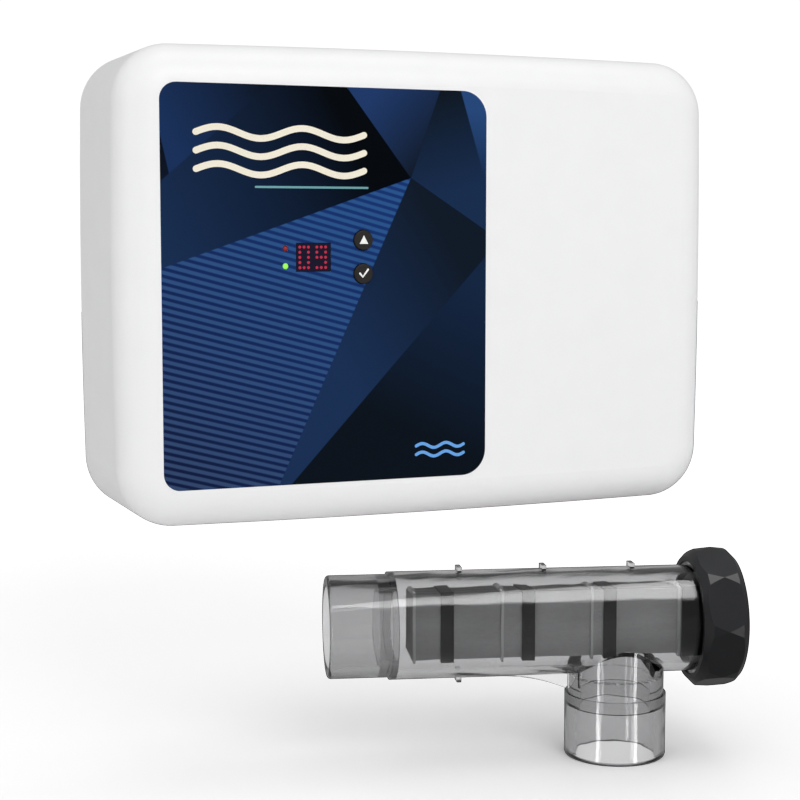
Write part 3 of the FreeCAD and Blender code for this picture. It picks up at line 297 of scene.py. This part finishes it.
dress(finish("white_case", (0.86, 0.86, 0.865), 0.36, grain=1500, relief=0.12, tint=0.012),
      "front_cover", "rear_cover")
dress(finish("dark_lens", (0.008, 0.007, 0.022), 0.2, relief=0.02, specular=0.15), "display_window")
dress(finish("display_black", (0.02, 0.02, 0.022), 0.4), "display_module")
dress(finish("button_black", (0.022, 0.020, 0.018), 0.42, relief=0.1, specular=0.2),
      "button_up", "button_ok")
dress(finish("switch_black", (0.03, 0.03, 0.03), 0.5),
      "tact_switches", "display_header", "main_header")
dress(finish("nut_black", (0.006, 0.0062, 0.007), 0.38, grain=1100, relief=0.15, tint=0.1,
             specular=0.20),
      "union_nut", "electrode_head")
dress(finish("clip_black", (0.012, 0.012, 0.013), 0.5), "plate_clip_1", "plate_clip_2", "plate_clip_3")
dress(finish("spacer_pale", (0.55, 0.55, 0.55), 0.4),
      "plate_spacer_1", "plate_spacer_2", "plate_spacer_3", "plate_spacer_4")
dress(finish("coated_titanium", (0.40, 0.40, 0.40), 0.55, grain=400, tint=0.12, metal=0.5,
             stretch=(1, 1, 8), turn=CELL_TURN),
      "anode_plate_1", "anode_plate_2", "anode_plate_3", "anode_plate_4")
dress(finish("bare_titanium", (0.32, 0.31, 0.30), 0.4, grain=400, tint=0.08, metal=0.9,
             stretch=(1, 1, 8), turn=CELL_TURN),
      "cathode_plate_1", "cathode_plate_2", "cathode_plate_3", "bus_bars", "terminal_studs")
dress(finish("rubber_black", (0.02, 0.02, 0.02), 0.7, relief=0.2),
      "cover_gasket", "gland_seals", "head_o_ring")
dress(finish("slip_white", (0.75, 0.74, 0.70), 0.35), "slip_ring")
dress(finish("gland_grey", (0.20, 0.21, 0.22), 0.45, relief=0.15),
      "gland_bodies", "gland_lock_nuts", "gland_cap_nuts")
dress(finish("screw_steel", (0.62, 0.61, 0.59), 0.3, metal=1.0, stretch=(1, 1, 6)),
      "cover_screws", "display_board_screws", "main_board_screws", "terminal_nuts", "transformer_bolt")
dress(finish("clamp_steel", (0.55, 0.54, 0.50), 0.4, metal=1.0, stretch=(8, 1, 1)), "transformer_clamp")
dress(finish("winding_yellow", (0.62, 0.47, 0.10), 0.5, grain=700, tint=0.15, stretch=(1, 1, 5)),
      "transformer")
dress(finish("board_green", (0.02, 0.16, 0.07), 0.35, grain=260, tint=0.3),
      "display_board", "main_board")
dress(finish("sink_aluminium", (0.72, 0.72, 0.73), 0.32, metal=1.0, stretch=(1, 1, 10)),
      "heatsink")
dress(finish("capacitor_sleeve", (0.03, 0.05, 0.14), 0.35), "capacitors")
dress(finish("relay_blue", (0.04, 0.16, 0.42), 0.4), "relays")
dress(finish("holder_black", (0.03, 0.03, 0.03), 0.5),
      "fuse_holder", "bridge_rectifier", "controller_chip")
dress(finish("fuse_glass", (0.75, 0.78, 0.78), 0.15), "fuse")
dress(finish("terminal_green", (0.05, 0.33, 0.14), 0.45), "terminal_block")
dress(finish("ribbon_grey", (0.42, 0.42, 0.43), 0.5, grain=500, stretch=(8, 1, 1)), "ribbon_cable")
dress(glow(finish("lamp_red", (0.22, 0.015, 0.02), 0.3), (0.6, 0.02, 0.01), 0.08), "led_red")
dress(glow(finish("lamp_green", (0.15, 0.45, 0.06), 0.3), (0.35, 1.0, 0.08), 0.65), "led_green")


PLASTIC_IOR = 1.46
PLASTIC_DARK, PLASTIC_LIGHT = (0.90, 0.90, 0.905), (0.96, 0.96, 0.965)
PLASTIC_ROUGH, PLASTIC_ROUGH_SPREAD = 0.02, 0.05
SMOKE_COLOUR = (0.02, 0.02, 0.03)
SMOKE_DENSITY = 68    # per metre: two 4.5 mm walls let about half of the light through

WAVE_SCALE, WAVE_STRETCH = 18, (1, 4, 4)    # slow waves, drawn out nearly along the tube
WAVE_STRENGTH, WAVE_DEPTH = 0.25, 2 * MM
FINE_SCALE = 700

BOND_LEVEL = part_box("cell_branch")[1][2]
BOND_HALF_BAND = 0.1 * MM
FLAT_LOW, FLAT_HIGH = 0.98, 0.99            # how upright a normal is where a face counts as flat


def clear_plastic():
    """Smoke-tinted clear plastic with the slow waves of a moulded tube.

    The flat joint where the branch is bonded to the housing does not bend the light.
    """
    material, tree, shader = new_material("clear_plastic")
    geometry = tree.nodes.new("ShaderNodeNewGeometry")
    point = object_point(tree, (1, 1, 1), CELL_TURN)
    _, _, facing = axes(tree, geometry.outputs["True Normal"])
    _, _, height = axes(tree, point)
    level = facing.math("ABSOLUTE").unit(FLAT_LOW, FLAT_HIGH)
    near = (height - BOND_LEVEL).math("ABSOLUTE").unit(2 * BOND_HALF_BAND, BOND_HALF_BAND)
    plug(tree, (level * near * -1 + 1).source, shader.inputs["Alpha"])
    wave = noise(tree, object_point(tree, WAVE_STRETCH, CELL_TURN), WAVE_SCALE, detail=1.0)
    fine = noise(tree, point, FINE_SCALE)
    share = (wave * 0.7 + fine * 0.3).unit(NOISE_LOW, NOISE_HIGH)
    plug(tree, mix(tree, share, PLASTIC_DARK, PLASTIC_LIGHT), shader.inputs["Base Color"])
    plug(tree, (fine * PLASTIC_ROUGH_SPREAD + PLASTIC_ROUGH).source, shader.inputs["Roughness"])
    shader.inputs["Transmission Weight"].default_value = 1.0
    shader.inputs["IOR"].default_value = PLASTIC_IOR
    bump(tree, shader, wave, WAVE_STRENGTH, WAVE_DEPTH)
    smoke = tree.nodes.new("ShaderNodeVolumeAbsorption")
    plug(tree, SMOKE_COLOUR, smoke.inputs["Color"])
    smoke.inputs["Density"].default_value = SMOKE_DENSITY
    tree.links.new(smoke.outputs["Volume"], tree.nodes["Material Output"].inputs["Volume"])
    return material


dress(clear_plastic(), "cell_housing", "cell_branch", "cell_gusset")


# ---------------------------------------------------------------- printed and lit marks

PRINT_DEPTH = 0.12 * MM
CAP_STEPS = 6     # steps round each end of a line
DOT_SIDES = 20


def to_left(way):
    """The direction a quarter turn to the left of another."""
    return Vector((-way.y, way.x))


class Print:
    """A thin raised print on a face that looks towards -Y, with its front at the given Y."""

    def __init__(self, front):
        self.mesh = bmesh.new()
        self.front = front
        self.back = front + PRINT_DEPTH

    def slab(self, outline):
        """A filled outline, whose corners are X, Z in mm and run anticlockwise."""
        ends = []
        for y in (self.front, self.back):
            ends.append([self.mesh.verts.new((x * MM, y, z * MM)) for x, z in outline])
        near, far = ends
        self.mesh.faces.new(near)
        self.mesh.faces.new(reversed(far))
        for i in range(len(near)):
            j = (i + 1) % len(near)
            self.mesh.faces.new((near[i], far[i], far[j], near[j]))

    def disc(self, x, z, radius):
        """A round dot."""
        turns = [math.tau * i / DOT_SIDES for i in range(DOT_SIDES)]
        self.slab([(x + radius * math.cos(a), z + radius * math.sin(a)) for a in turns])

    def stroke(self, points, width):
        """A line of even width with round ends."""
        half = width / 2
        points = [Vector(p) for p in points]
        run = [p - q for p, q in zip(points[1:], points[:-1])]
        ways = [run[0]] + [a.normalized() + b.normalized() for a, b in zip(run, run[1:])] + [run[-1]]
        left, right = [], []
        for p, way in zip(points, ways):
            side = to_left(way).normalized() * half
            left.append(p + side)
            right.append(p - side)
        first, last = run[0].normalized(), run[-1].normalized()
        cap = [math.pi * i / CAP_STEPS for i in range(1, CAP_STEPS)]
        tail = [points[-1] + half * (math.sin(a) * last - math.cos(a) * to_left(last)) for a in cap]
        head = [points[0] + half * (-math.sin(a) * first + math.cos(a) * to_left(first)) for a in cap]
        self.slab([tuple(p) for p in right + tail + left[::-1] + head])

    def piece(self, name, material, body):
        """The finished object, riding on a body."""
        data = bpy.data.meshes.new(name)
        bmesh.ops.triangulate(self.mesh, faces=[f for f in self.mesh.faces if len(f.verts) > 4])
        bmesh.ops.recalc_face_normals(self.mesh, faces=self.mesh.faces)
        self.mesh.to_mesh(data)
        self.mesh.free()
        data.materials.append(material)
        thing = bpy.data.objects.new(name, data)
        bpy.context.scene.collection.objects.link(thing)
        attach(thing, body)
        return thing


LABEL_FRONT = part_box("label_overlay")[0][1]
WINDOW_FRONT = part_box("display_window")[0][1]

# Three by five dots, from the top row down. Their places and sizes are in mm.
DIGITS = {"0": ("111", "101", "101", "101", "111"), "9": ("111", "101", "111", "001", "111")}
DOT_COLUMNS = {"0": (-82.6, -80.1, -77.5), "9": (-72.5, -69.9, -67.3)}
DOT_TOP, DOT_PITCH, DOT_RADIUS = 22.3, 2.87, 0.82


def display_digits():
    """The lit dots of the two digits."""
    dots = Print(WINDOW_FRONT - PRINT_DEPTH)
    for digit, rows in DIGITS.items():
        for i, row in enumerate(rows):
            for x, lit in zip(DOT_COLUMNS[digit], row):
                if lit == "1":
                    dots.disc(x, DOT_TOP - i * DOT_PITCH, DOT_RADIUS)
    red = glow(finish("digit_red", (0.27, 0.01, 0.04), 0.3), (0.9, 0.01, 0.05), 0.27)
    dots.piece("display_digits", red, "installation")


WAVE_STEPS = 40
WAVE_CRESTS = 2

# Rows, left end, length, height and line width of the two water signs, in mm.
SIGN = ((85, 75, 65), -142, 98, 3.0, 3.6)
RIPPLE = ((-93, -98), -12, 30, 1.3, 1.8)
BAR_LEFT, BAR_RIGHT, BAR_ROW, BAR_WIDTH = -108, -42, 55.5, 1.2


def wave_points(x, z, length, height):
    """The middle line of a water wave that starts at x, z."""
    turn = WAVE_CRESTS * math.tau
    return [
        (x + length * i / WAVE_STEPS, z + height * math.sin(turn * i / WAVE_STEPS))
        for i in range(WAVE_STEPS + 1)
    ]


def wave_print(rows, x, length, height, width):
    """A print with one water wave on each row."""
    waves = Print(LABEL_FRONT - PRINT_DEPTH)
    for z in rows:
        waves.stroke(wave_points(x, z, length, height), width)
    return waves


def label_marks():
    """A plain water sign with a bar below it, and a small ripple, where a maker would put its name."""
    cream = finish("print_cream", (0.86, 0.80, 0.66), 0.4)
    teal = finish("print_teal", (0.13, 0.34, 0.37), 0.4)
    blue = finish("print_blue", (0.12, 0.36, 0.80), 0.4)

    waves = wave_print(*SIGN)
    waves.piece("print_waves", cream, "installation")

    bar = Print(LABEL_FRONT - PRINT_DEPTH)
    bar.stroke([(BAR_LEFT, BAR_ROW), (BAR_RIGHT, BAR_ROW)], BAR_WIDTH)
    bar.piece("print_bar", teal, "installation")

    ripple = wave_print(*RIPPLE)
    ripple.piece("print_ripple", blue, "installation")


# Corners of the triangle and line of the tick, in mm from the middle of their buttons: X, Z.
TRIANGLE = ((-2.6, -2.1), (2.6, -2.1), (0, 2.7))
TICK = ((-2.4, 0.2), (-0.7, -1.8), (2.5, 2.4))
TICK_WIDTH = 1.1


def button_marks():
    """An upward triangle and a tick."""
    white = finish("print_white", (0.9, 0.9, 0.88), 0.4)
    for node, body in (("button_up", "up_button"), ("button_ok", "ok_button")):
        low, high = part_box(node)
        x = (low[0] + high[0]) / 2 / MM
        z = (low[2] + high[2]) / 2 / MM
        mark = Print(low[1] - PRINT_DEPTH)
        if node == "button_up":
            mark.slab([(x + dx, z + dz) for dx, dz in TRIANGLE])
        else:
            mark.stroke([(x + dx, z + dz) for dx, dz in TICK], TICK_WIDTH)
        mark.piece(f"{node}_mark", white, body)


display_digits()
label_marks()
button_marks()


# ---------------------------------------------------------------- studio

# A long lens, a little above the middle and well to the left. Lens and sensor are in mm.
LENS = 78.92
SENSOR = 36.0
CLIP_END = 50
CAMERA_PLACE = (-0.4008, -1.0331, 0.0317)
CAMERA_PITCH = math.radians(90 - 5.53)
CAMERA_YAW = math.radians(-22.09)

FLOOR_HALF = 6.0
FLOOR_CORNERS = ((-1, -1), (1, -1), (1, 1), (-1, 1))

CELL_NODES = [
    name for name in NODES
    if name.startswith(("cell_", "plate_", "anode_", "cathode_", "union_", "electrode_"))
]
CELL_FRONT = Vector((-math.sin(CELL_TURN), -math.cos(CELL_TURN), 0))

# What the lights point at.
OBJECT_MIDDLE = Vector((0.02, -0.06, -0.08))
CELL_MIDDLE = Vector((0.08, -0.07, -0.211))
BRANCH_FOOT = Vector((0.131, -0.082, -0.27))

# A softbox above the cell, and two upright strips that draw bright lines down the branch.
SOFTBOX_PLACE = CELL_MIDDLE + 0.225 * CELL_FRONT + Vector((0, 0, 0.974))
LEFT_STRIP_PLACE = BRANCH_FOOT + Vector((-1.10, -0.47, -0.25))
RIGHT_STRIP_PLACE = BRANCH_FOOT + Vector((0.40, -1.13, -0.25))

# Name, place, width and height, watts, and what it points at.
REST_PANELS = (
    ("key", (0.1, -2.0, 1.1), (1.4, 1.0), 14, OBJECT_MIDDLE),
    ("top", (0.1, -0.3, 1.6), (1.6, 0.8), 4, OBJECT_MIDDLE),
    ("left", (-2.0, -0.6, 0.4), (1.0, 1.0), 3, OBJECT_MIDDLE),
)
CELL_PANELS = (
    ("cell_softbox", SOFTBOX_PLACE, (2.0, 0.85), 38, CELL_MIDDLE),
    ("branch_strip_left", LEFT_STRIP_PLACE, (0.14, 0.8), 4, BRANCH_FOOT),
    ("branch_strip_right", RIGHT_STRIP_PLACE, (0.16, 0.8), 5, BRANCH_FOOT),
)


def add_camera():
    """The one camera of the scene."""
    data = bpy.data.cameras.new("studio_camera")
    data.lens = LENS
    data.sensor_width = SENSOR
    data.clip_end = CLIP_END
    camera = bpy.data.objects.new("studio_camera", data)
    camera.location = CAMERA_PLACE
    camera.rotation_euler = Euler((CAMERA_PITCH, 0, CAMERA_YAW))
    bpy.context.scene.collection.objects.link(camera)
    bpy.context.scene.camera = camera


def add_panel(name, place, size, power, aim, for_cell):
    """A soft rectangular light that lights the cell alone, or all but the cell."""
    data = bpy.data.lights.new(name, "AREA")
    data.shape = "RECTANGLE"
    data.size, data.size_y = size
    data.energy = power
    lamp = bpy.data.objects.new(name, data)
    lamp.location = place
    lamp.rotation_euler = (aim - Vector(place)).to_track_quat("-Z", "Y").to_euler()
    bpy.context.scene.collection.objects.link(lamp)

    cell = bpy.data.collections.new(f"{name}_linked")
    for node in CELL_NODES:
        cell.objects.link(NODES[node])
    lamp.light_linking.receiver_collection = cell
    if for_cell:
        lamp.light_linking.blocker_collection = cell
    else:
        for item in cell.collection_objects:
            item.light_linking.link_state = "EXCLUDE"


def add_floor():
    """A floor that only takes shadows, and that clear and glossy parts don't show."""
    level = cad_box[0][2]
    data = bpy.data.meshes.new("floor")
    corners = [(x * FLOOR_HALF, y * FLOOR_HALF, level) for x, y in FLOOR_CORNERS]
    data.from_pydata(corners, [], [(0, 1, 2, 3)])
    data.materials.append(finish("floor_white", (0.9, 0.9, 0.9), 0.6, grain=200, tint=0.01))
    floor = bpy.data.objects.new("floor", data)
    bpy.context.scene.collection.objects.link(floor)
    floor.is_shadow_catcher = True
    floor.visible_glossy = False
    floor.visible_transmission = False


# Strength of the white world for each kind of ray.
WORLD_BASE = 0.70
SEEN_EXTRA = 0.35         # for the camera, so that the background is white
MIRRORED_LESS = 0.40      # in reflections
THROUGH_LESS = 0.58       # seen through clear parts, where the next value is added below the ceiling
THROUGH_EXTRA = 0.93
CEILING = (0.30, 0.12)    # upward part of a direction where the dark ceiling starts and where it ends
FRONT = (-0.6, -0.1)      # Y of a direction from which the world behind the camera is dimmed
FRONT_SHARE = 0.3         # what is left of it there


def add_world():
    """White behind the object, grey light from all round, and a dark ceiling in clear parts."""
    world = bpy.data.worlds.new("studio")
    world.use_nodes = True
    tree = world.node_tree
    background = tree.nodes["Background"]
    background.inputs["Color"].default_value = (1, 1, 1, 1)
    way = tree.nodes.new("ShaderNodeTexCoord").outputs["Generated"]
    _, depth, height = axes(tree, way)
    below_ceiling = height.unit(*CEILING)
    behind = depth.unit(*FRONT) * (1 - FRONT_SHARE) + FRONT_SHARE
    rays = tree.nodes.new("ShaderNodeLightPath")
    seen = Field(tree, rays.outputs["Is Camera Ray"])
    through = Field(tree, rays.outputs["Is Transmission Ray"])
    glossy = Field(tree, rays.outputs["Is Glossy Ray"])
    mirrored = glossy * Field(tree, rays.outputs["Is Reflection Ray"])
    plain = seen * SEEN_EXTRA + WORLD_BASE - through * THROUGH_LESS - mirrored * MIRRORED_LESS
    strength = plain + through * below_ceiling * behind * THROUGH_EXTRA
    plug(tree, strength.source, background.inputs["Strength"])
    bpy.context.scene.world = world


add_camera()
add_world()
add_floor()
for panel in REST_PANELS:
    add_panel(*panel, for_cell=False)
for panel in CELL_PANELS:
    add_panel(*panel, for_cell=True)
bpy.context.scene.view_settings.view_transform = "Standard"
